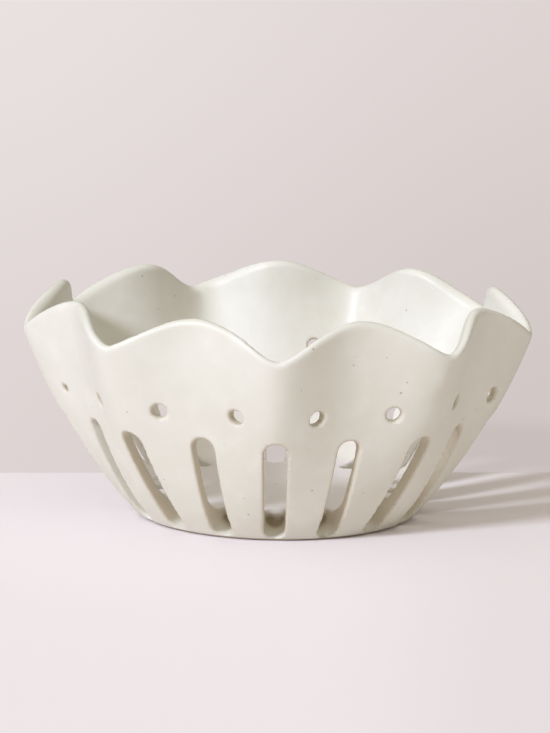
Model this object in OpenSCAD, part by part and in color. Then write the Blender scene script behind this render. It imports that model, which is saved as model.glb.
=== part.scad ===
// Berry colander bowl in stoneware: fluted wall, scalloped rim, drain slots and drain holes.
// Heights run up from the table. Angles run round the upright axis from the front ridge.

/* [Bowl] */
// Radius of the rim on the outside of a ridge
rim_r = 99; // [92:1:112]
// Height of the rim where it dips at a ridge
dip_h = 74.5; // [68:0.5:90]
// Rise of the rim from a dip to the crest of a lobe
lobe_rise = 12.6; // [4:0.2:18]
// Radius of the foot on the outside, at the table
foot_r = 54; // [50:0.5:60]
// Radius of the arc that the wall follows from foot to rim
wall_arc_r = 205; // [120:5:400]
// Thickness of the wall
wall_t = 4.6; // [3.4:0.1:6]

/* [Flutes] */
// Number of flutes, each with one lobe of the rim above it
flute_count = 9; // [7:1:10]
// Depth of a flute below its ridges, at the crest of its lobe
flute_depth = 14.6; // [4:0.2:18]
// How fast the flutes fade out on the way down to the floor
flute_fade = 1.1; // [1:0.1:2.5]
// Softness of the ridges between the flutes, on the outside of the wall
ridge_soft = 0.38; // [0.15:0.01:0.6]
// Softness of the ridges on the inside of the wall
inside_soft = 0.6; // [0.3:0.05:1]
// Softness of the dips in the rim
dip_soft = 0.15; // [0.05:0.05:0.5]

/* [Drain slots] */
// Height of the round top of a slot
slot_top_h = 42.4; // [34:0.2:45]
// Height of the gutter at the bottom of a slot, at the outside of the foot
slot_bottom_h = 1.6; // [1.2:0.1:2.6]
// Height of the gutter at the inner end of a slot
gutter_end_h = 4.4; // [2.8:0.1:5.4]
// Width of a slot at its top, on a ridge
slot_top_w = 9; // [7:0.2:11]
// Width of a slot at its inner end, in the floor
slot_end_w = 7.8; // [4.6:0.2:9]
// Distance from the axis to the inner end of a slot
slot_end_r = 43; // [38:0.5:46]
// How far the edge of the floor stands over the inner end of a gutter
ledge_w = 2; // [0.5:0.1:3]

/* [Drain holes] */
// Diameter of a drain hole
hole_d = 5.4; // [4:0.1:8]
// Height of a drain hole's centre on the outside of the wall
hole_h = 51.8; // [50:0.1:58]
// Angle at which a drain hole slopes down towards the outside
hole_slope = 5; // [0:1:25]
// Angle by which a drain hole is turned from the bowl's axis towards the middle of its flute
hole_turn = 20; // [0:1:25]

/* [Floor and foot] */
// Height of the top of the floor
floor_h = 10; // [8.5:0.1:14]
// Thickness of the floor
floor_t = 3; // [2.6:0.1:4.4]
// Radius of the fillet between floor and wall
fillet_r = 7; // [2:0.5:9]
// Radius of the hollow under the floor
hollow_r = 38; // [30:0.5:40]
// Bevel at the bottom edge of the foot
foot_bevel = 0.8; // [0.3:0.1:1.4]

/* [Hidden] */

// Facets of the fluted wall
columns_per_flute = 18;
wall_rows = 7;
lip_step = 30;
lip_share = 0.35;
rib_rows = 8;
rib_slices = 4;
fillet_rows = 4;
arc_rows = 4;

glaze = "ivory";

crest_h = dip_h + lobe_rise;
floor_low = floor_h - floor_t;
slot_count = 2 * flute_count;
pitch = 360 / slot_count;
columns = flute_count * columns_per_flute;

// The wall's arc, through the foot at the table and the rim at a dip
chord_r = rim_r - foot_r;
chord = norm([chord_r, dip_h]);
arc_back = sqrt(pow(wall_arc_r, 2) - pow(chord / 2, 2));
arc_cr = (rim_r + foot_r) / 2 - arc_back * dip_h / chord;
arc_ch = dip_h / 2 + arc_back * chord_r / chord;

// A slot tapers in plan: its round inner end is tangent to two upright sides that spread outwards
slot_spring_h = slot_top_h - slot_top_w / 2;
slot_end_c = slot_end_r + slot_end_w / 2;
slot_spread = (slot_top_w - slot_end_w) / 2 / (ridge_r(slot_spring_h) - slot_end_c);
slot_half_0 = slot_half(0);
slot_past_out = ridge_r(slot_top_h) + wall_t;
slot_past_in = slot_end_c;
gutter_slope = atan((gutter_end_h - slot_bottom_h) / (foot_r - slot_end_r));

// Outside radius of the wall on a ridge
function ridge_r(h) = arc_cr + sqrt(pow(wall_arc_r, 2) - pow(h - arc_ch, 2));

// Half the width of a slot at a distance from the axis
function slot_half(x) = slot_end_w / 2 + (x - slot_end_c) * slot_spread;

// Angle from a slot's middle to its side, for a point on that side at radius r
function slot_side_a(r) = atan(slot_spread) + asin(slot_half_0 * cos(atan(slot_spread)) / r);

// 0 on a ridge, 1 in the middle of a flute, with the ridge rounded by its softness
function wave(a, soft) =
    (norm([sin(a * flute_count / 2), soft]) - soft) / (norm([1, soft]) - soft);

// 0 at the floor, 1 at the crests of the rim
function flute_growth(h) = h <= floor_h ? 0 : pow((h - floor_h) / (crest_h - floor_h), flute_fade);

// Radius of a fluted surface whose ridges have a softness, and its slopes upwards and round the bowl
function fluted_r(a, h, soft) = ridge_r(h) - flute_depth * flute_growth(h) * wave(a, soft);
function slope_up(a, h, soft) = (fluted_r(a, h + 1, soft) - fluted_r(a, h - 1, soft)) / 2;
function slope_round(a, h, soft) =
    (fluted_r(a + 1, h, soft) - fluted_r(a - 1, h, soft)) / 2 / (fluted_r(a, h, soft) * PI / 180);

// Outside radius, inside radius and rim height of the wall
function outer_r(a, h) = fluted_r(a, h, ridge_soft);
function inner_r(a, h) =
    let (slopes = [1, slope_up(a, h, inside_soft), slope_round(a, h, inside_soft)])
    fluted_r(a, h, inside_soft) - wall_t * norm(slopes);
function rim_h(a) = dip_h + lobe_rise * wave(a, dip_soft);

// How far the fillet stands out from the inside of the wall
function fillet_out(h) =
    let (left = max(0, 1 - (h - floor_h) / fillet_r))
    fillet_r * (1 - sqrt(1 - pow(left, 2)));

function place(a, r, h) = [r * sin(a), -r * cos(a), h];

// The two triangles between neighbouring points s and t of neighbouring sections f and g
function patch(f, g, s, t, size) = [
    [f * size + s, f * size + t, g * size + t],
    [f * size + s, g * size + t, g * size + s]
];

// Section of the upper wall at an angle: up the outside, over the round lip, down the inside
function rim_section(a) =
    let (lip = wall_t * lip_share)
    let (top = rim_h(a) - lip)
    let (rise = (top - slot_spring_h) / wall_rows)
    let (outside = outer_r(a, top))
    let (inside = inner_r(a, top))
    concat(
        [for (j = [0 : wall_rows]) let (h = slot_spring_h + rise * j) [outer_r(a, h), h]],
        [for (b = [lip_step : lip_step : 180 - lip_step])
            [(outside + inside) / 2 + (outside - inside) / 2 * cos(b), top + lip * sin(b)]],
        [for (j = [wall_rows : -1 : 0]) let (h = slot_spring_h + rise * j) [inner_r(a, h), h]]
    );

// Section of a rib at an angle: up the outside, down the inside, out over the fillet to the floor
function rib_section(a) =
    let (rise = (slot_spring_h - floor_h) / rib_rows)
    let (fall = (slot_spring_h - floor_h - fillet_r) / rib_rows)
    concat(
        [for (j = [0 : rib_rows]) let (h = floor_h + rise * j) [outer_r(a, h), h]],
        [for (j = [0 : rib_rows]) let (h = slot_spring_h - fall * j) [inner_r(a, h), h]],
        [for (j = [1 : fillet_rows])
            let (h = floor_h + fillet_r * (1 - sin(90 * j / fillet_rows)))
            [inner_r(a, h) - fillet_out(h), h]]
    );

// Angle of a point of rib k at radius r, a share f of the way from one slot's side to the next
function rib_angle(k, f, r) = (k + f) * pitch + (1 - 2 * f) * slot_side_a(r);

// Points of rib k at share f, moved along the wall until they lie on the slots' sides
function rib_slice(k, f) =
    let (first = rib_section((k + f) * pitch))
    [for (s = [0 : len(first) - 1])
        let (r1 = rib_section(rib_angle(k, f, first[s][0]))[s][0])
        let (r2 = rib_section(rib_angle(k, f, r1))[s][0])
        place(rib_angle(k, f, r2), r2, first[s][1])];

// Triangles of a rib's end: across the wall row by row, then spread out from its foot under the fillet
function rib_end() =
    let (far = 2 * rib_rows + 1)
    concat(
        [for (j = [0 : rib_rows - 1])
            each [[j, j + 1, far - j - 1], [j, far - j - 1, far - j]]],
        [for (j = [0 : fillet_rows - 1]) [0, far + j, far + j + 1]]
    );

// Upper wall without its openings, one closed ring
module rim_ring() {
    sections = [for (i = [0 : columns - 1])
        let (a = 360 * i / columns)
        [for (p = rim_section(a)) place(a, p[0], p[1])]];
    size = len(sections[0]);
    faces = [for (i = [0 : columns - 1])
        for (s = [0 : size - 1])
            each patch(i, (i + 1) % columns, s, (s + 1) % size, size)];
    polyhedron([for (section = sections) each section], faces);
}

// One rib, between slot k and the next slot
module rib(k) {
    slices = [for (i = [0 : rib_slices]) rib_slice(k, i / rib_slices)];
    size = len(slices[0]);
    sides = [for (i = [0 : rib_slices - 1])
        for (s = [0 : size - 1])
            each patch(i, i + 1, s, (s + 1) % size, size)];
    near_end = [for (t = rib_end()) [t[2], t[1], t[0]]];
    far_end = [for (t = rib_end()) [for (s = t) rib_slices * size + s]];
    polyhedron([for (slice = slices) each slice], concat(sides, near_end, far_end));
}

// Round top of a slot, above the height where its sides end
module slot_arch() {
    translate([0, 0, slot_spring_h])
    rotate([90, 0, 0])
    translate([0, 0, slot_past_in])
    cylinder(
        h = slot_past_out - slot_past_in,
        r1 = slot_half(slot_past_in),
        r2 = slot_half(slot_past_out),
        $fn = 48
    );
}

// Lower part of a slot, between two heights
module slot_foot(low, high) {
    translate([0, 0, low])
    linear_extrude(high - low)
    polygon([
        [-slot_half(slot_end_c), -slot_end_c],
        [slot_half(slot_end_c), -slot_end_c],
        [slot_half(slot_past_out), -slot_past_out],
        [-slot_half(slot_past_out), -slot_past_out]
    ]);
    translate([0, -slot_end_c, low])
    cylinder(h = high - low, d = slot_end_w, $fn = 48);
}

// Gutter at the bottom of a slot: it slopes down to the outside and reaches in under the floor's edge
module gutter() {
    intersection() {
        translate([0, ledge_w, 0])
        slot_foot(0, floor_low + 1);
        translate([0, -foot_r, slot_bottom_h])
        rotate([gutter_slope, 0, 0])
        translate([-foot_r, -foot_r, 0])
        cube(2 * foot_r);
    }
}

// Drain hole, turned and sloped on its way through the wall
module drain_hole(a, turn) {
    translate([0, -outer_r(a, hole_h), hole_h])
    rotate([90 + hole_slope, 0, turn])
    cylinder(h = 8 * wall_t, d = hole_d, center = true, $fn = 48);
}

module at_slots() {
    for (k = [0 : slot_count - 1])
        rotate([0, 0, k * pitch])
        children();
}

// Points along the outside of the wall between two heights, where the wall is still round
function arc_points(low, high) =
    [for (j = [0 : arc_rows]) let (h = low + (high - low) * j / arc_rows) [ridge_r(h), h]];

// Upper wall with the scalloped rim, the drain holes and the round tops of the slots
module rim_wall() {
    color(glaze)
    difference() {
        rim_ring();
        at_slots() slot_arch();
        for (k = [0 : slot_count - 1])
            rotate([0, 0, (k + 0.5) * pitch])
            drain_hole((k + 0.5) * pitch, k % 2 == 0 ? hole_turn : -hole_turn);
    }
}

// Ribs of the wall between the slots, from the floor to the round tops of the slots
module wall_ribs() {
    color(glaze)
    for (k = [0 : slot_count - 1])
        rib(k);
}

// Floor of the bowl, notched by the inner ends of the slots
module floor() {
    color(glaze)
    difference() {
        rotate_extrude($fn = 180)
        polygon(concat([[0, floor_low]], arc_points(floor_low, floor_h), [[0, floor_h]]));
        at_slots() slot_foot(floor_low - 1, floor_h + 1);
    }
}

// Ring foot under the floor, cut by the gutters of the slots
module foot_ring() {
    color(glaze)
    difference() {
        rotate_extrude($fn = 180)
        polygon(concat(
            [[hollow_r, 0], [foot_r - foot_bevel, 0]],
            arc_points(foot_bevel / 2, floor_low),
            [[hollow_r, floor_low]]
        ));
        at_slots() gutter();
    }
}

rim_wall();
wall_ribs();
floor();
foot_ring();
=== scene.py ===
"""Looks of a berry colander bowl: one glazed stoneware body on a pale table.

Lengths of the bowl are in millimetres and are turned into metres where its mesh is made.
Materials, stage, light and camera are in metres.
Angles run round the upright axis from the front ridge, which faces -Y.
"""
import math

import bpy
import numpy as np
from mathutils import Matrix, Vector


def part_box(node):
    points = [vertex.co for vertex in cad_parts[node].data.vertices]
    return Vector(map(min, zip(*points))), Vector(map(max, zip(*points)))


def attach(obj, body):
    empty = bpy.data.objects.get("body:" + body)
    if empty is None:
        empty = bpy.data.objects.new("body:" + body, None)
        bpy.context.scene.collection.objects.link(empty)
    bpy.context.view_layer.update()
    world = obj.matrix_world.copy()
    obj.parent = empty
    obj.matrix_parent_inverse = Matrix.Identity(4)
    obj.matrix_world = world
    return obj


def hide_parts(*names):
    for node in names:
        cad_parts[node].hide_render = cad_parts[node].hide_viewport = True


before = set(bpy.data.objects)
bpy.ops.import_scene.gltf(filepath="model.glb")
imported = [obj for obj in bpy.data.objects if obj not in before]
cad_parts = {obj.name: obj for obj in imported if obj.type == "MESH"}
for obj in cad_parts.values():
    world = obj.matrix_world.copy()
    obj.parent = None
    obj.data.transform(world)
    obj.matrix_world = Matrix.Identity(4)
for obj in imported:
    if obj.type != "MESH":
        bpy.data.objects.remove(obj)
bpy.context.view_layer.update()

MM = 0.001
TINY = 1e-6
IMAGE_HEIGHT = 733

# The bowl's driving sizes, as in the solids
RIM_R = 99.0
DIP_H = 74.5
FOOT_R = 54.0
WALL_ARC_R = 205.0
WALL_T = 4.6
FLUTE_COUNT = 9
FLUTE_DEPTH = 14.6
FLUTE_FADE = 1.1
RIDGE_SOFT = 0.38
INSIDE_SOFT = 0.6
DIP_SOFT = 0.15
SLOT_END_R = 43.0
HOLE_D = 5.4
HOLE_H = 51.8
HOLE_SLOPE = math.radians(5)
HOLE_TURN = math.radians(20)
HOLLOW_R = 38.0

# Sizes of the slots that are up to 0.5 mm off the solids': narrower, with a steeper gutter
SLOT_TOP_W = 8.7
SLOT_END_W = 7.3
SLOT_BOTTOM_H = 1.3
GUTTER_END_H = 4.6

# The floor's edge over the slots' inner ends
LEDGE_H = 7.6
LEDGE_OVERHANG = 1.2
LEDGE_SLANT = 2.0

# Holes that stray from the even row: number, shift round the bowl, shift up and change of radius
HOLE_STRAYS = ((-9, 0.0, -1.5, 0.0), (-4, 0.0, 0.0, -1.4), (2, 2.0, 1.8, 0.0), (3, 3.0, 0.0, 0.0))

# Places where the hand-shaped rim strays round the bowl: angle, spread and shift, in degrees
RIM_STRAYS = ((-45, 6, -2.4), (-9, 5.0, -0.9), (62, 7, 0.9), (128, 6, -1.1), (-158, 8, -1.7))

# Dips of the rim that stand higher than the others: angle and spread in degrees, and height
RIM_LIFTS = ((-40, 5, 1.5), (-160, 5, 0.8), (160, 5, 1.2))

# How far the glaze and the clay round off each kind of edge
FLOOR_FILLET = 9.0
LIP_ROUND = 3.0
FOOT_ROUND = 1.6
HOLLOW_ROUND = 1.4
SLOT_TROUGH = 5.0
SLOT_ROUND = 1.0
HOLE_ROUND = 1.5

# Where each painted shade tone of the glaze ends, and the length over which it fades
INSIDE_EDGE = 2.5
INSIDE_FADE = 1.5
FLOOR_EDGE = 0.5
FLOOR_FADE = 3.0
LOW_FADE = 4.0
LOW_TOP = 44.0
LOW_TOP_FADE = 20.0
SLOT_EDGE = 0.96
BORE_EDGE = 0.8
FACE_FADE = 0.8
SLOT_BEHIND = 3.0
POCKET_END = 48.6
POCKET_FADE = 2.5
LEDGE_END = 47.0
LEDGE_END_FADE = 1.5
LEDGE_FADE = 0.6
GUTTER_EDGE = 3.9
GUTTER_FADE = 3.0

# The slots between these angles have painted shade on their faces in a tan tone, and the others' faces get
# only a little of it, so they are nearly as pale as the wall
TAN_FROM = math.radians(-50)
TAN_TO = math.radians(100)
PALE_SHARE = 0.15

# Grid and smoothing of the body's mesh
CELL = 1.23
MARGIN = 3.0
RELAX_ROUNDS = 6
RELAX_SHARE = 0.6
GRADIENT_STEP = 0.02
LEAST_STEEP = 0.25

# Colours of the glaze and the clay
CREAM = (0.747, 0.723, 0.66, 1)
CREAM_THIN = (0.777, 0.755, 0.70, 1)
CREAM_DEEP = (0.707, 0.682, 0.61, 1)
# Painted shade in the glaze's colour: the shade's pinkish grey on the floor, the darker low inside wall, tan
# on the slots' faces and the holes' bores, and dark brown in the pockets under the floor's edge
SHADE_TONES = {
    "floor": (0.74, 0.68, 0.685, 1),
    "low": (0.67, 0.63, 0.57, 1),
    "slot": (0.64, 0.575, 0.47, 1),
    "pocket_shade": (0.33, 0.265, 0.18, 1),
}
SPECK = (0.20, 0.145, 0.09, 1)
CLAY = (0.45, 0.37, 0.28, 1)
CLAY_PALE = (0.52, 0.43, 0.33, 1)

# Patterns of the glaze: waves per metre, detail and roughness of the noise
CLOUDING = (22, 3.0, 0.55)
DRIFT = (90, 3.0, 0.6)
RIPPLE = (150, 2.0, 0.4)
GRAIN = (900, 2.0, 0.5)

# Bands of the noise over which the glaze changes
CLOUD_BAND = (0.35, 0.65)
DRIFT_BAND = (0.45, 0.75)
DRIFT_SHARE = 0.6
SHEEN_BAND = (0.3, 0.7)

# Specks: cells per metre, share of cells with one, smallest and largest in parts of a cell, strength
LARGE_SPECKS = (160, 0.5, 0.05, 0.09, 0.5)
SMALL_SPECKS = (260, 0.22, 0.03, 0.07, 0.45)
SPECK_CORE = 0.6

# Surface of the glaze and the clay: each relief has a strength and a height
RIPPLE_RELIEF = (0.25, 0.0006)
GRAIN_RELIEF = (0.08, 0.0004)
GLAZE_ROUGH = (0.42, 0.5)
GLAZE_IOR = 1.5
CLAY_ROUGH = 0.85
BARE_BELOW = 0.0005
GLAZED_ABOVE = 0.0013

# Table and backdrop
TABLE = (0.865, 0.80, 0.83, 1)
# Painted shade that darkens the table towards its right
TABLE_RIGHT_SHADE = (0.805, 0.74, 0.762, 1)
TABLE_GLOW = (0.86, 0.80, 0.76, 1)
TABLE_LIFT = 0.03
TABLE_ROUGH = 0.9
TABLE_GLOSS = 0.1
TABLE_HALF = 20.0
TABLE_EDGE_Y = 0.069
TABLE_EDGE_SLOPE = 0.077
TABLE_EDGE_SOFT = 0.002
BACKDROP = (0.835, 0.763, 0.767, 1)
BACKDROP_SHADE = (0.63, 0.567, 0.556, 1)
BACKDROP_PLAIN = 0.75

# Slopes of the lines of sight between which the painted shade of the backdrop and of the table's right side
# deepens, and the nearest distance that counts
SIGHT_DOWN = 0.21
SIGHT_SIDE = 0.13
FADE_SHARE = 0.5
RIGHT_FROM = 0.01
RIGHT_TO = 0.1
NEAREST = 0.1

# Camera, at the photograph's viewing angle
CAMERA_AT = Vector((-0.00085, -1.01649, 0.22846))
CAMERA_TILT = math.radians(9.60)
CAMERA_ROLL = math.radians(0.91)
FOCAL_PIXELS = 2658.0
SENSOR = 36.0

# Light
KEY_AZIMUTH = math.radians(-42)
KEY_ELEVATION = math.radians(31)
KEY_DISTANCE = 1.6
KEY_SOFTNESS = math.radians(11)
KEY_STRENGTH = 2.36
KEY_COLOUR = (0.94, 1.0, 1.16)
FILL_COLOUR = (1.0, 0.96, 0.82)
FILL_ALL_ROUND = 0.23
FILL_TOP = 0.42
FILL_TOP_NARROW = 1.0
FILL_FRONT = 0.22
FILL_FRONT_NARROW = 2.0
TOP_WAY = (0.0, 0.0, 1.0)
FRONT_WAY = (0.0, -0.6, 0.8)


# Shape of the bowl


def node_heights(node):
    """Lowest and highest point of a frame node, in millimetres."""
    low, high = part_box(node)
    return low.z / MM, high.z / MM


FLOOR_LOW, FLOOR_H = node_heights("floor")
SLOT_SPRING_H, CREST_H = node_heights("rim_wall")
LOBE_RISE = CREST_H - DIP_H
PITCH = math.pi / FLUTE_COUNT

# The wall's arc, from the foot to the rim
CHORD_R = RIM_R - FOOT_R
CHORD = math.hypot(CHORD_R, DIP_H)
ARC_BACK = math.sqrt(WALL_ARC_R ** 2 - (CHORD / 2) ** 2)
ARC_CR = (RIM_R + FOOT_R) / 2 - ARC_BACK * DIP_H / CHORD
ARC_CH = DIP_H / 2 + ARC_BACK * CHORD_R / CHORD


def ridge_r(h):
    """Outside radius of the wall on a ridge."""
    return ARC_CR + np.sqrt(WALL_ARC_R ** 2 - (h - ARC_CH) ** 2)


def ridge_slope(h):
    """How fast the ridge's radius grows with height."""
    return (ARC_CH - h) / np.sqrt(WALL_ARC_R ** 2 - (h - ARC_CH) ** 2)


def wave(a, soft):
    """0 on a ridge and 1 in the middle of a flute, with its slope. The ridge is rounded by soft."""
    across = np.sin(a * FLUTE_COUNT / 2)
    turn = np.cos(a * FLUTE_COUNT / 2) * FLUTE_COUNT / 2
    length = np.hypot(across, soft)
    whole = math.hypot(1, soft) - soft
    return (length - soft) / whole, across * turn / length / whole


def flute_growth(h):
    """0 at the floor and 1 at the crests of the rim, with its slope."""
    share = np.maximum(h - FLOOR_H, TINY) / (CREST_H - FLOOR_H)
    growth = share ** FLUTE_FADE
    return growth, FLUTE_FADE * growth / share / (CREST_H - FLOOR_H)


def smooth_max(a, b, blend):
    """The larger of two distances, rounded where they are close."""
    near = np.maximum(blend - np.abs(a - b), 0) / blend
    return np.maximum(a, b) + near ** 2 * blend / 4


def fade(depth, length):
    """Rises from 0 to 1 while depth goes from 0 to length."""
    return np.clip(depth / length, 0, 1)


def side_distance(a, r, z, soft):
    """Distance from the fluted surface whose ridges are rounded by soft."""
    depth, depth_slope = wave(a, soft)
    growth, growth_slope = flute_growth(z)
    up = ridge_slope(z) - FLUTE_DEPTH * growth_slope * depth
    around = FLUTE_DEPTH * growth * depth_slope / np.maximum(r, 1)
    return (r - ridge_r(z) + FLUTE_DEPTH * growth * depth) / np.sqrt(1 + up ** 2 + around ** 2)


def rim_angle(a):
    """Angle on an even rim that a place on the hand-shaped rim stands for."""
    even = np.array(a, float)
    for angle, spread, shift in RIM_STRAYS:
        off = (a - math.radians(angle)) / math.radians(spread)
        even += math.radians(shift) * np.exp(-off ** 2)
    return even


def rim_lift(a):
    """How much higher the rim stands at an angle than an even rim."""
    return sum(
        height * np.exp(-((a - math.radians(angle)) / math.radians(spread)) ** 2)
        for angle, spread, height in RIM_LIFTS
    )


def wall_distance(a, r, z):
    """Distance from the wall with its scalloped lip and from the floor plate."""
    outside = side_distance(a, r, z, RIDGE_SOFT)
    inside = side_distance(a, r, z, INSIDE_SOFT) + WALL_T
    hollow = smooth_max(inside, FLOOR_H - z, FLOOR_FILLET)
    rise, rise_slope = wave(rim_angle(a), DIP_SOFT)
    steep = np.hypot(1, LOBE_RISE * rise_slope / np.maximum(r, 1))
    above = (z - DIP_H - LOBE_RISE * rise - rim_lift(a)) / steep
    return smooth_max(np.maximum(outside, -hollow), above, LIP_ROUND)


# The middle of a slot's round inner end, how the slot widens, and the fall of its gutter
SLOT_END_C = SLOT_END_R + SLOT_END_W / 2
SLOT_SPREAD = (SLOT_TOP_W - SLOT_END_W) / 2 / (ridge_r(SLOT_SPRING_H) - SLOT_END_C)
GUTTER_SLOPE = (GUTTER_END_H - SLOT_BOTTOM_H) / (FOOT_R - SLOT_END_R)


def slot_distance(a, r, z):
    """Distance from the nearest drain slot: a tapered channel with a round top and a round inner end.

    Its bottom is a gutter that slopes down to the outside, and the floor's edge stands over its inner end.
    """
    turn = a - np.round(a / PITCH) * PITCH
    out = r * np.cos(turn)
    side = r * np.sin(turn)
    above = np.maximum(z - SLOT_SPRING_H, 0)
    end = SLOT_END_C - LEDGE_OVERHANG * fade(LEDGE_H - z, LEDGE_SLANT)
    behind = np.minimum(out - end, 0)
    half = SLOT_END_W / 2 + np.maximum(out - SLOT_END_C, 0) * SLOT_SPREAD
    gutter = GUTTER_END_H - (out - SLOT_END_R) * GUTTER_SLOPE - z
    return smooth_max(np.sqrt(side ** 2 + above ** 2 + behind ** 2) - half, gutter, SLOT_TROUGH)


# Radius of the outside wall where the holes are
HOLE_R = ridge_r(HOLE_H) - FLUTE_DEPTH * flute_growth(HOLE_H)[0] * wave(PITCH / 2, RIDGE_SOFT)[0]


def hole_stray(number):
    """Shift round the bowl, shift up and change of radius of the numbered holes."""
    strays = np.zeros((3, *number.shape))
    for stray, *amounts in HOLE_STRAYS:
        strays[:, number == stray] = np.array(amounts)[:, None]
    return strays


def hole_distance(a, r, z):
    """Distance from the nearest drain hole, which is turned towards its flute and slopes down outwards."""
    number = np.floor(a / PITCH)
    turn = a - (number + 0.5) * PITCH
    out = r * np.cos(turn) - HOLE_R
    shift, lift, wider = hole_stray(number)
    side = (r * np.sin(turn) - shift) * np.where(number % 2 == 0, 1, -1)
    along = out * math.cos(HOLE_TURN) + side * math.sin(HOLE_TURN)
    across = side * math.cos(HOLE_TURN) - out * math.sin(HOLE_TURN)
    up = along * math.sin(HOLE_SLOPE) + (z - HOLE_H - lift) * math.cos(HOLE_SLOPE)
    return np.hypot(across, up) - HOLE_D / 2 - wider


def bowl_distance(points):
    """Distance of points from the bowl's surface, below 0 inside the clay."""
    x, y, z = points.T
    r = np.hypot(x, y)
    a = np.arctan2(x, -y)
    body = smooth_max(wall_distance(a, r, z), -z, FOOT_ROUND)
    under = smooth_max(r - HOLLOW_R, z - FLOOR_LOW, HOLLOW_ROUND)
    body = smooth_max(body, -under, HOLLOW_ROUND)
    body = smooth_max(body, -slot_distance(a, r, z), SLOT_ROUND)
    return smooth_max(body, -hole_distance(a, r, z), HOLE_ROUND)


def bowl_gradient(points):
    """Outward direction of the distance at points, not scaled to 1."""
    shifts = np.eye(3) * GRADIENT_STEP
    return np.stack(
        [(bowl_distance(points + s) - bowl_distance(points - s)) / (2 * GRADIENT_STEP) for s in shifts],
        axis=1,
    )


def shade_marks(points):
    """How far points have each painted shade tone of the glaze, from 0 to 1, in the order of the shade
    tones.

    The tones are painted shade: the shade's pinkish grey on the floor, darker shade on the low inside wall,
    tan shade on the slots' faces and the holes' bores, and dark brown shade in the pockets under the floor's
    edge.
    """
    x, y, z = points.T
    r = np.hypot(x, y)
    a = np.arctan2(x, -y)
    out = r * np.cos(a - np.round(a / PITCH) * PITCH)
    inner = fade(INSIDE_EDGE - side_distance(a, r, z, INSIDE_SOFT) - WALL_T, INSIDE_FADE)
    # Each mark is painted shade, or on the floor the tint of the shade
    floor = inner * fade(FLOOR_H + FLOOR_FADE - z, FLOOR_FADE) * (z > FLOOR_H - FLOOR_EDGE)
    low = inner * np.minimum(fade(z - FLOOR_H - FLOOR_EDGE, LOW_FADE), fade(LOW_TOP - z, LOW_TOP_FADE))
    slot = fade(SLOT_EDGE - slot_distance(a, r, z), FACE_FADE) * (r > SLOT_END_R - SLOT_BEHIND)
    # Painted shade on the slots' faces, full between TAN_FROM and TAN_TO and a little elsewhere
    slot *= np.where((a > TAN_FROM) & (a < TAN_TO), 1, PALE_SHARE)
    pocket_shade = slot * fade(POCKET_END - out, POCKET_FADE) * fade(LEDGE_H - z, LEDGE_FADE)
    ledge = fade(LEDGE_END - out, LEDGE_END_FADE) * fade(z - LEDGE_H, LEDGE_FADE)
    trough = z - GUTTER_END_H + (out - SLOT_END_R) * GUTTER_SLOPE
    gutter = fade(out - POCKET_END, GUTTER_FADE) * fade(GUTTER_EDGE - trough, GUTTER_FADE)
    bore_shade = fade(BORE_EDGE - hole_distance(a, r, z), FACE_FADE)
    return floor, low, np.maximum(slot * (1 - np.maximum(ledge, gutter)), bore_shade), pocket_shade


# Mesh of the body

CORNERS = np.array([(i, j, k) for i in (0, 1) for j in (0, 1) for k in (0, 1)])
EDGES = [(a, b) for a in range(8) for b in range(a + 1, 8) if np.abs(CORNERS[a] - CORNERS[b]).sum() == 1]


def sample_grid():
    """Distances on a grid round the bowl. Far from the wall and the floor, the grid is just outside."""
    low = np.array([-RIM_R - MARGIN, -RIM_R - MARGIN, -MARGIN])
    high = np.array([RIM_R + MARGIN, RIM_R + MARGIN, CREST_H + MARGIN])
    axes = [np.arange(start, end + CELL, CELL) for start, end in zip(low, high)]
    values = np.full([len(axis) for axis in axes], MARGIN)
    x, y = np.meshgrid(axes[0], axes[1], indexing="ij")
    r = np.hypot(x, y)
    for k, z in enumerate(axes[2]):
        outer = ridge_r(z)
        inner = outer - FLUTE_DEPTH - 3 * WALL_T if z > FLOOR_H + 2 * FLOOR_FILLET else 0
        near = (r < outer + MARGIN) & (r > inner)
        points = np.stack([x[near], y[near], np.full(near.sum(), z)], axis=1)
        values[near, k] = bowl_distance(points)
    return values, low


def net_points(values, cells):
    """One point in each cell that the surface crosses: the middle of its crossings of the cell's edges."""
    at = [values[tuple((cells + corner).T)] for corner in CORNERS]
    total = np.zeros((len(cells), 3))
    count = np.zeros(len(cells))
    for a, b in EDGES:
        crossed = (at[a] < 0) != (at[b] < 0)
        share = np.where(crossed, at[a] / np.where(crossed, at[a] - at[b], 1), 0)
        total += crossed[:, None] * (CORNERS[a] + share[:, None] * (CORNERS[b] - CORNERS[a]))
        count += crossed
    return cells + total / count[:, None]


def net_faces(inside, number):
    """One four-sided face round each grid edge that the surface crosses, facing outwards."""
    faces = []
    for axis in range(3):
        others = [(axis + 1) % 3, (axis + 2) % 3]
        first = np.moveaxis(inside, [axis, *others], [0, 1, 2])
        cell = np.moveaxis(number, [axis, *others], [0, 1, 2])
        here = first[:-1, 1:-1, 1:-1]
        there = first[1:, 1:-1, 1:-1]
        i, j, k = np.nonzero(here != there)
        quad = np.stack([cell[i, j, k], cell[i, j + 1, k], cell[i, j + 1, k + 1], cell[i, j, k + 1]], axis=1)
        leaves = here[i, j, k]
        faces.append(np.where(leaves[:, None], quad, quad[:, ::-1]))
    return np.concatenate(faces)


def surface_net(values, low):
    """Points and faces of the surface where the sampled distance is 0."""
    inside = values < 0
    shape = np.array(inside.shape) - 1
    sums = np.zeros(shape, int)
    for corner in CORNERS:
        sums += inside[tuple(slice(start, start + size) for start, size in zip(corner, shape))]
    cells = np.argwhere((sums > 0) & (sums < len(CORNERS)))
    number = np.full(shape, -1)
    number[tuple(cells.T)] = np.arange(len(cells))
    return low + CELL * net_points(values, cells), net_faces(inside, number)


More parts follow.
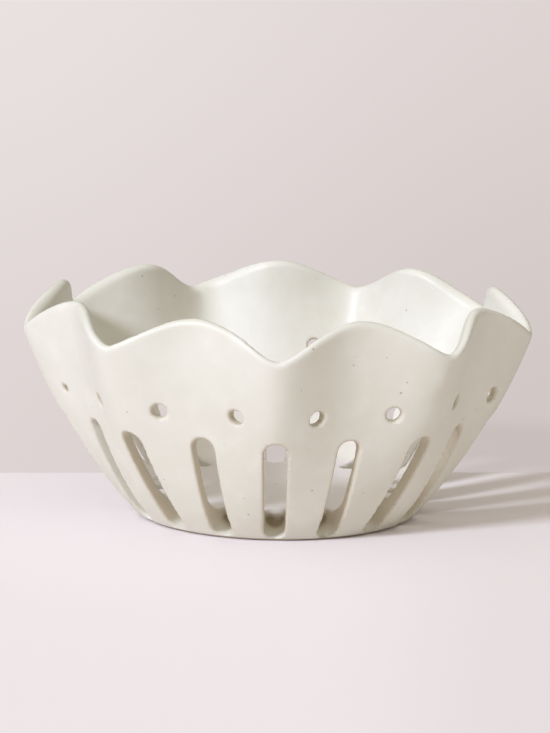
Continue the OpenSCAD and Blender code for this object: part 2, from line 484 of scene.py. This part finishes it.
def onto_surface(points):
    """Points moved along the distance's slope to where it is 0, by half a cell at most."""
    slope = bowl_gradient(points)
    steep = np.maximum((slope ** 2).sum(axis=1), LEAST_STEEP)
    step = np.clip(bowl_distance(points) / steep, -CELL / 2, CELL / 2)
    return points - step[:, None] * slope


def relax(points, faces):
    """Evens out the mesh along the surface and puts every point back on it."""
    edges = np.concatenate([faces[:, [0, 1]], faces[:, [1, 2]], faces[:, [2, 3]], faces[:, [3, 0]]])
    count = np.bincount(edges.ravel(), minlength=len(points))[:, None]
    for _ in range(RELAX_ROUNDS):
        total = np.zeros_like(points)
        for axis in range(3):
            total[:, axis] = np.bincount(edges[:, 0], points[edges[:, 1], axis], len(points))
            total[:, axis] += np.bincount(edges[:, 1], points[edges[:, 0], axis], len(points))
        points = points + RELAX_SHARE * (total / count - points)
        points = onto_surface(points)
    return onto_surface(points)


def make_body():
    """The whole bowl as one closed, smooth mesh."""
    points, faces = surface_net(*sample_grid())
    points = relax(points, faces)
    normals = bowl_gradient(points)
    normals /= np.linalg.norm(normals, axis=1)[:, None]
    mesh = bpy.data.meshes.new("bowl_body")
    mesh.from_pydata((points * MM).tolist(), [], faces.tolist())
    mesh.shade_smooth()
    mesh.normals_split_custom_set_from_vertices(normals.tolist())
    # Marks of the painted shade, kept on the mesh's points for the glaze
    for name, marks in zip(SHADE_TONES, shade_marks(points)):
        mesh.attributes.new(name, "FLOAT", "POINT").data.foreach_set("value", marks)
    body = bpy.data.objects.new("bowl_body", mesh)
    bpy.context.scene.collection.objects.link(body)
    return body


# Materials

# Places of the colours among the Mix node's sockets
MIX_A = 6
MIX_B = 7
MIX_RESULT = 2


class Nodes:
    """The node tree of a material or a world, with short calls to add and join nodes."""

    def __init__(self, owner):
        self.tree = owner.node_tree

    def add(self, kind, inputs=None, **settings):
        """A new node with its settings, and with values or other nodes' outputs at its inputs."""
        node = self.tree.nodes.new(kind)
        for name, value in settings.items():
            setattr(node, name, value)
        for key, value in (inputs or {}).items():
            self.feed(node.inputs[key], value)
        return node

    def feed(self, socket, value):
        """Joins an output to a socket, or sets the socket to a plain value."""
        if isinstance(value, bpy.types.NodeSocket):
            self.tree.links.new(value, socket)
        else:
            socket.default_value = value

    def noise(self, vector, scale, detail, roughness):
        """Cloudy noise around 0.5."""
        return self.add(
            "ShaderNodeTexNoise",
            {"Vector": vector, "Scale": scale, "Detail": detail, "Roughness": roughness},
        ).outputs["Fac"]

    def ramp(self, value, low, high, to_low=0.0, to_high=1.0):
        """A smooth step from to_low to to_high while value goes from low to high."""
        return self.add(
            "ShaderNodeMapRange",
            {"Value": value, "From Min": low, "From Max": high, "To Min": to_low, "To Max": to_high},
            interpolation_type="SMOOTHSTEP",
        ).outputs["Result"]

    def math(self, operation, a, b):
        """One step of arithmetic."""
        return self.add("ShaderNodeMath", {0: a, 1: b}, operation=operation).outputs["Value"]

    def facing(self, way, middle, strength, narrow):
        """A strength that falls off smoothly as the direction way turns from middle."""
        along = self.add("ShaderNodeVectorMath", {0: way, 1: middle}, operation="DOT_PRODUCT")
        ahead = self.math("MAXIMUM", along.outputs["Value"], 0.0)
        return self.math("MULTIPLY", self.math("POWER", ahead, narrow), strength)

    def mix(self, factor, a, b):
        """The colour a where factor is 0, and b where it is 1."""
        return self.add(
            "ShaderNodeMix", {"Factor": factor, MIX_A: a, MIX_B: b}, data_type="RGBA"
        ).outputs[MIX_RESULT]

    def bump(self, height, strength, distance, **others):
        """A relief, as the normal that the shader takes."""
        return self.add(
            "ShaderNodeBump", {"Height": height, "Strength": strength, "Distance": distance, **others}
        ).outputs["Normal"]


def new_material(name):
    """A material, its nodes and its main shader."""
    material = bpy.data.materials.new(name)
    material.use_nodes = True
    nodes = Nodes(material)
    return material, nodes, nodes.tree.nodes["Principled BSDF"]


def specks(nodes, vector, cells_per_metre, share, smallest, largest, strength):
    """Round specks in a share of the cells of a scattered pattern. The sizes are in parts of a cell."""
    cells = nodes.add("ShaderNodeTexVoronoi", {"Vector": vector, "Scale": cells_per_metre})
    draw = nodes.add("ShaderNodeSeparateColor", {"Color": cells.outputs["Color"]})
    kept = nodes.math("LESS_THAN", draw.outputs["Red"], share)
    size = nodes.ramp(draw.outputs["Green"], 0.0, 1.0, smallest, largest)
    inside = nodes.ramp(nodes.math("DIVIDE", cells.outputs["Distance"], size), SPECK_CORE, 1.0, 1.0, 0.0)
    return nodes.math("MULTIPLY", nodes.math("MULTIPLY", inside, kept), strength)


def glaze_material():
    """Satin cream glaze with clouding, painted shade on the floor, the low inside wall, the slots' faces,
    the holes' bores and the pockets, iron specks and a fine ripple, and bare clay under the foot.
    """
    material, nodes, shader = new_material("glaze")
    place = nodes.add("ShaderNodeTexCoord").outputs["Object"]
    height = nodes.add("ShaderNodeSeparateXYZ", {"Vector": place}).outputs["Z"]
    cloud = nodes.noise(place, *CLOUDING)
    colour = nodes.mix(nodes.ramp(cloud, *CLOUD_BAND), CREAM_DEEP, CREAM)
    drift = nodes.noise(place, *DRIFT)
    colour = nodes.mix(nodes.ramp(drift, *DRIFT_BAND, 0.0, DRIFT_SHARE), colour, CREAM_THIN)
    # Painted shade from the marks on the mesh
    for name, tone in SHADE_TONES.items():
        mark = nodes.add("ShaderNodeAttribute", attribute_name=name).outputs["Fac"]
        colour = nodes.mix(mark, colour, tone)
    large = specks(nodes, place, *LARGE_SPECKS)
    small = specks(nodes, place, *SMALL_SPECKS)
    colour = nodes.mix(nodes.math("MAXIMUM", large, small), colour, SPECK)
    grain = nodes.noise(place, *GRAIN)
    bare = nodes.ramp(height, BARE_BELOW, GLAZED_ABOVE, 1.0, 0.0)
    clay = nodes.mix(grain, CLAY, CLAY_PALE)
    nodes.feed(shader.inputs["Base Color"], nodes.mix(bare, colour, clay))
    sheen = nodes.ramp(cloud, *SHEEN_BAND, *GLAZE_ROUGH)
    rough = nodes.math("MAXIMUM", sheen, nodes.math("MULTIPLY", bare, CLAY_ROUGH))
    nodes.feed(shader.inputs["Roughness"], rough)
    shader.inputs["IOR"].default_value = GLAZE_IOR
    swell = nodes.bump(nodes.noise(place, *RIPPLE), *RIPPLE_RELIEF)
    nodes.feed(shader.inputs["Normal"], nodes.bump(grain, *GRAIN_RELIEF, Normal=swell))
    return material


def stage_material():
    """Pale table that keeps the shadow and has painted shade towards its right, with a plainer and slightly
    deeper backdrop tone behind the bowl that has painted shade, deeper towards the table's edge and the
    right.

    Its tones are laid out along lines of sight from the place of the photograph's camera. They are fixed on
    the table, and don't follow the camera in other views.
    """
    material, nodes, shader = new_material("table")
    place = nodes.add("ShaderNodeTexCoord").outputs["Object"]
    part = nodes.add("ShaderNodeSeparateXYZ", {"Vector": place})
    slant = nodes.math("MULTIPLY", part.outputs["X"], -TABLE_EDGE_SLOPE)
    edge = nodes.math("ADD", part.outputs["Y"], slant)
    beyond = nodes.ramp(edge, TABLE_EDGE_Y - TABLE_EDGE_SOFT, TABLE_EDGE_Y + TABLE_EDGE_SOFT)
    away = nodes.math("MAXIMUM", nodes.math("SUBTRACT", part.outputs["Y"], CAMERA_AT.y), NEAREST)
    down = nodes.math("DIVIDE", CAMERA_AT.z, away)
    side = nodes.math("DIVIDE", part.outputs["X"], away)
    # Painted shade on the backdrop, deeper near the table's edge and towards the right
    low = nodes.ramp(down, 0.0, SIGHT_DOWN, 0.0, FADE_SHARE)
    right = nodes.ramp(side, -SIGHT_SIDE, SIGHT_SIDE, 0.0, FADE_SHARE)
    backdrop = nodes.mix(nodes.math("ADD", low, right), BACKDROP, BACKDROP_SHADE)
    shader.inputs["Roughness"].default_value = TABLE_ROUGH
    shader.inputs["Specular IOR Level"].default_value = TABLE_GLOSS
    rays = nodes.add("ShaderNodeLightPath")
    seen = nodes.math("MAXIMUM", rays.outputs["Is Camera Ray"], rays.outputs["Is Glossy Ray"])
    # Painted shade that darkens the table towards the right
    table_right_shade = nodes.ramp(side, RIGHT_FROM, RIGHT_TO)
    table = nodes.mix(seen, TABLE_GLOW, nodes.mix(table_right_shade, TABLE, TABLE_RIGHT_SHADE))
    nodes.feed(shader.inputs["Base Color"], nodes.mix(beyond, table, backdrop))
    nodes.feed(shader.inputs["Emission Color"], TABLE)
    nodes.feed(shader.inputs["Emission Strength"], nodes.math("MULTIPLY", seen, TABLE_LIFT))
    plain = nodes.add("ShaderNodeEmission", {"Color": backdrop}).outputs["Emission"]
    share = nodes.math("MULTIPLY", nodes.math("MULTIPLY", seen, beyond), BACKDROP_PLAIN)
    shown = nodes.add("ShaderNodeMixShader", {"Fac": share, 1: shader.outputs["BSDF"], 2: plain})
    nodes.feed(nodes.tree.nodes["Material Output"].inputs["Surface"], shown.outputs["Shader"])
    return material


# Stage, light and camera


def make_table():
    """The wide table that the bowl stands on."""
    corners = [(x * TABLE_HALF, y * TABLE_HALF, 0) for x, y in ((-1, -1), (1, -1), (1, 1), (-1, 1))]
    mesh = bpy.data.meshes.new("table")
    mesh.from_pydata(corners, [], [(0, 1, 2, 3)])
    mesh.materials.append(stage_material())
    table = bpy.data.objects.new("table", mesh)
    bpy.context.scene.collection.objects.link(table)


def make_fill():
    """Soft warm light from all round that grows towards the top and towards the front."""
    world = bpy.data.worlds.new("fill")
    world.use_nodes = True
    nodes = Nodes(world)
    way = nodes.add("ShaderNodeTexCoord").outputs["Generated"]
    top = nodes.facing(way, TOP_WAY, FILL_TOP, FILL_TOP_NARROW)
    front = nodes.facing(way, FRONT_WAY, FILL_FRONT, FILL_FRONT_NARROW)
    sky = nodes.tree.nodes["Background"]
    nodes.feed(sky.inputs["Color"], (*FILL_COLOUR, 1))
    nodes.feed(sky.inputs["Strength"], nodes.math("ADD", nodes.math("ADD", top, front), FILL_ALL_ROUND))
    bpy.context.scene.world = world


def make_key():
    """The main light, from the front left and above."""
    lamp = bpy.data.lights.new("key", "SUN")
    lamp.angle = KEY_SOFTNESS
    lamp.energy = KEY_STRENGTH
    lamp.color = KEY_COLOUR
    key = bpy.data.objects.new("key", lamp)
    flat = math.cos(KEY_ELEVATION)
    towards = Vector((
        math.sin(KEY_AZIMUTH) * flat, -math.cos(KEY_AZIMUTH) * flat, math.sin(KEY_ELEVATION)
    ))
    key.location = towards * KEY_DISTANCE
    key.rotation_euler = towards.to_track_quat("Z", "Y").to_euler()
    bpy.context.scene.collection.objects.link(key)


def make_camera():
    """The camera, whose lens is given by its focal length in pixels of the image."""
    lens = bpy.data.cameras.new("camera")
    lens.sensor_width = SENSOR
    lens.lens = FOCAL_PIXELS / IMAGE_HEIGHT * SENSOR
    camera = bpy.data.objects.new("camera", lens)
    turn = Matrix.Rotation(math.pi / 2 - CAMERA_TILT, 3, "X") @ Matrix.Rotation(CAMERA_ROLL, 3, "Z")
    camera.matrix_world = Matrix.Translation(CAMERA_AT) @ turn.to_4x4()
    bpy.context.scene.collection.objects.link(camera)
    bpy.context.scene.camera = camera


make_camera()
body = make_body()
body.data.materials.append(glaze_material())
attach(body, "root")
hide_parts("rim_wall", "wall_ribs", "floor", "foot_ring")
make_table()
make_fill()
make_key()
bpy.context.scene.view_settings.view_transform = "Standard"
